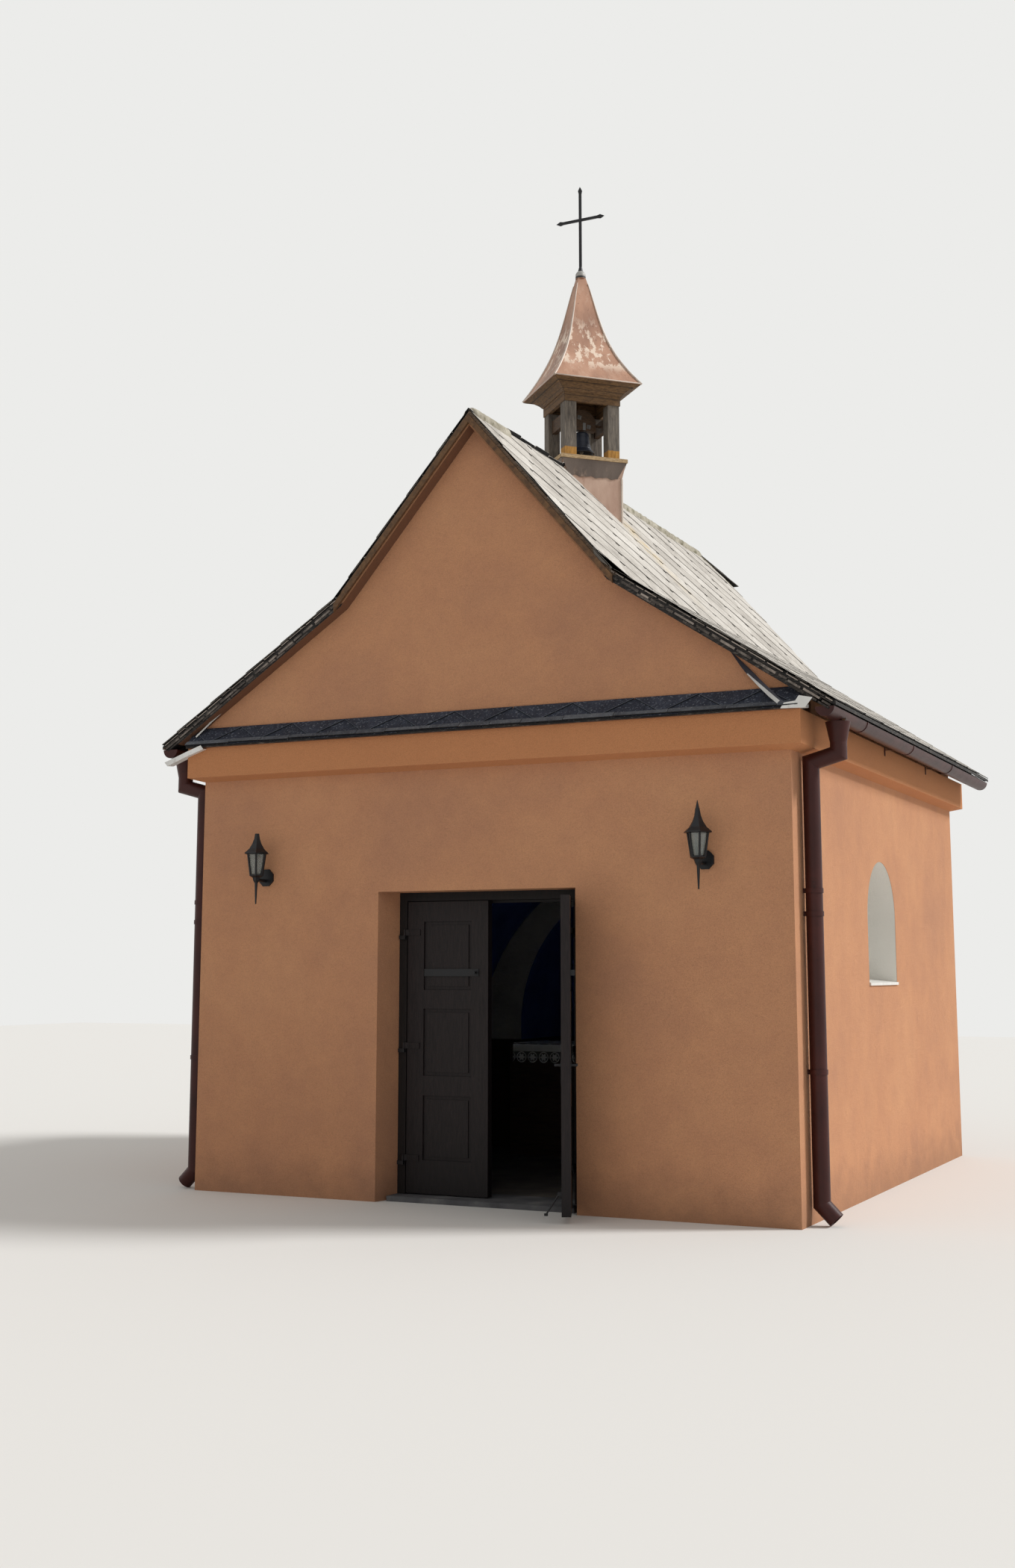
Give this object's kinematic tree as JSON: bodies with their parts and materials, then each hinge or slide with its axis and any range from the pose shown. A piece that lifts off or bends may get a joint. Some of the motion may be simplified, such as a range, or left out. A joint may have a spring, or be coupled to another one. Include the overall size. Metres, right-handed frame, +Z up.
{
  "type": "wayside chapel",
  "caption": "Small rendered chapel with a kicked slate roof, bell turret with spire and cross, panelled double door, arched side windows and a vaulted room.",
  "frame": {"origin": "middle of the plan, on the level of the lowest ground, where the walls end", "axes": "+X to the right seen from the front, +Y from the front to the back, +Z up"},
  "size_m": [5.146, 5.3289, 7.96],
  "materials": {
    "render": "matt textured lime render",
    "inside_plaster": "matt limewash",
    "concrete": "matt",
    "slate": "weathered",
    "mortar": "rough",
    "brown_wood": "satin paint",
    "grey_wood": "weathered",
    "white_wood": "satin paint",
    "brown_metal": "satin paint",
    "rusty_sheet": "flaking paint",
    "black_iron": "satin paint",
    "steel": "worn",
    "glass": "clear",
    "bell_metal": "dull paint",
    "cloth": "white cloth"
  },
  "bodies": {
    "chapel": {"altar": "inside_plaster", "altar_cloth": "cloth", "back_gable": "render", "back_wall": "render", "barge_boards_back": "brown_wood", "barge_boards_front": "brown_wood", "chancel_arch": "inside_plaster", "cornice_back": "render", "cornice_front": "render", "cornice_left": "render", "cornice_right": "render", "cross": "black_iron", "door_frame": "brown_wood", "downpipe_bends": "brown_metal", "downpipe_left": "brown_metal", "downpipe_right": "brown_metal", "downpipe_shoes": "brown_metal", "floor_slab": "concrete", "front_gable": "render", "front_wall_left": "render", "front_wall_over_door": "render", "front_wall_right": "render", "gutter_left": "brown_metal", "gutter_right": "brown_metal", "hinge_pins": "black_iron", "lantern_glass": "glass", "lantern_left": "black_iron", "lantern_right": "black_iron", "left_wall": "render", "pent_roof": "slate", "ridge_cap": "mortar", "right_wall": "render", "roof_hip": "slate", "roof_left": "slate", "roof_right": "slate", "spire": "rusty_sheet", "threshold": "concrete", "turret_base": "rusty_sheet", "turret_head": "grey_wood", "turret_posts": "grey_wood", "turret_rails": "grey_wood", "turret_sill": "grey_wood", "vault_left": "inside_plaster", "vault_right": "inside_plaster", "window_frames": "white_wood", "window_panes": "glass", "window_sills": "white_wood"},
    "left_leaf": {"door_leaf_left": "brown_wood", "hasp_bar": "black_iron"},
    "right_leaf": {"door_leaf_right": "brown_wood", "hasp_staple": "black_iron", "door_handle": "steel", "stay_bracket": "black_iron"},
    "door_stay": {"door_stay": "black_iron"},
    "bell": {"bell": "bell_metal", "bell_yoke": "grey_wood"},
    "clapper": {"clapper": "steel"}
  },
  "joints": [
    {"name": "left_leaf_swing", "type": "hinge", "parent": "chapel", "child": "left_leaf", "pos_m": [-0.652, -2.185, 1], "axis": [0, 0, 1], "range_deg": [-113, 0]},
    {"name": "right_leaf_swing", "type": "hinge", "parent": "chapel", "child": "right_leaf", "pos_m": [0.652, -2.185, 1], "axis": [0, 0, 1], "range_deg": [-113, 0]},
    {"name": "door_stay_fold", "type": "hinge", "parent": "right_leaf", "child": "door_stay", "pos_m": [0.79729, -2.77297, 0.178], "axis": [-0.3907, 0.9205, 0], "range_deg": [0, 142]},
    {"name": "bell_swing", "type": "hinge", "parent": "chapel", "child": "bell", "pos_m": [0, -0.505, 5.92], "axis": [0.7071, 0.7071, 0], "range_deg": [-60, 60]},
    {"name": "clapper_swing", "type": "hinge", "parent": "bell", "child": "clapper", "pos_m": [0, -0.505, 5.822], "axis": [0.7071, 0.7071, 0], "range_deg": [-22, 22]}
  ]
}
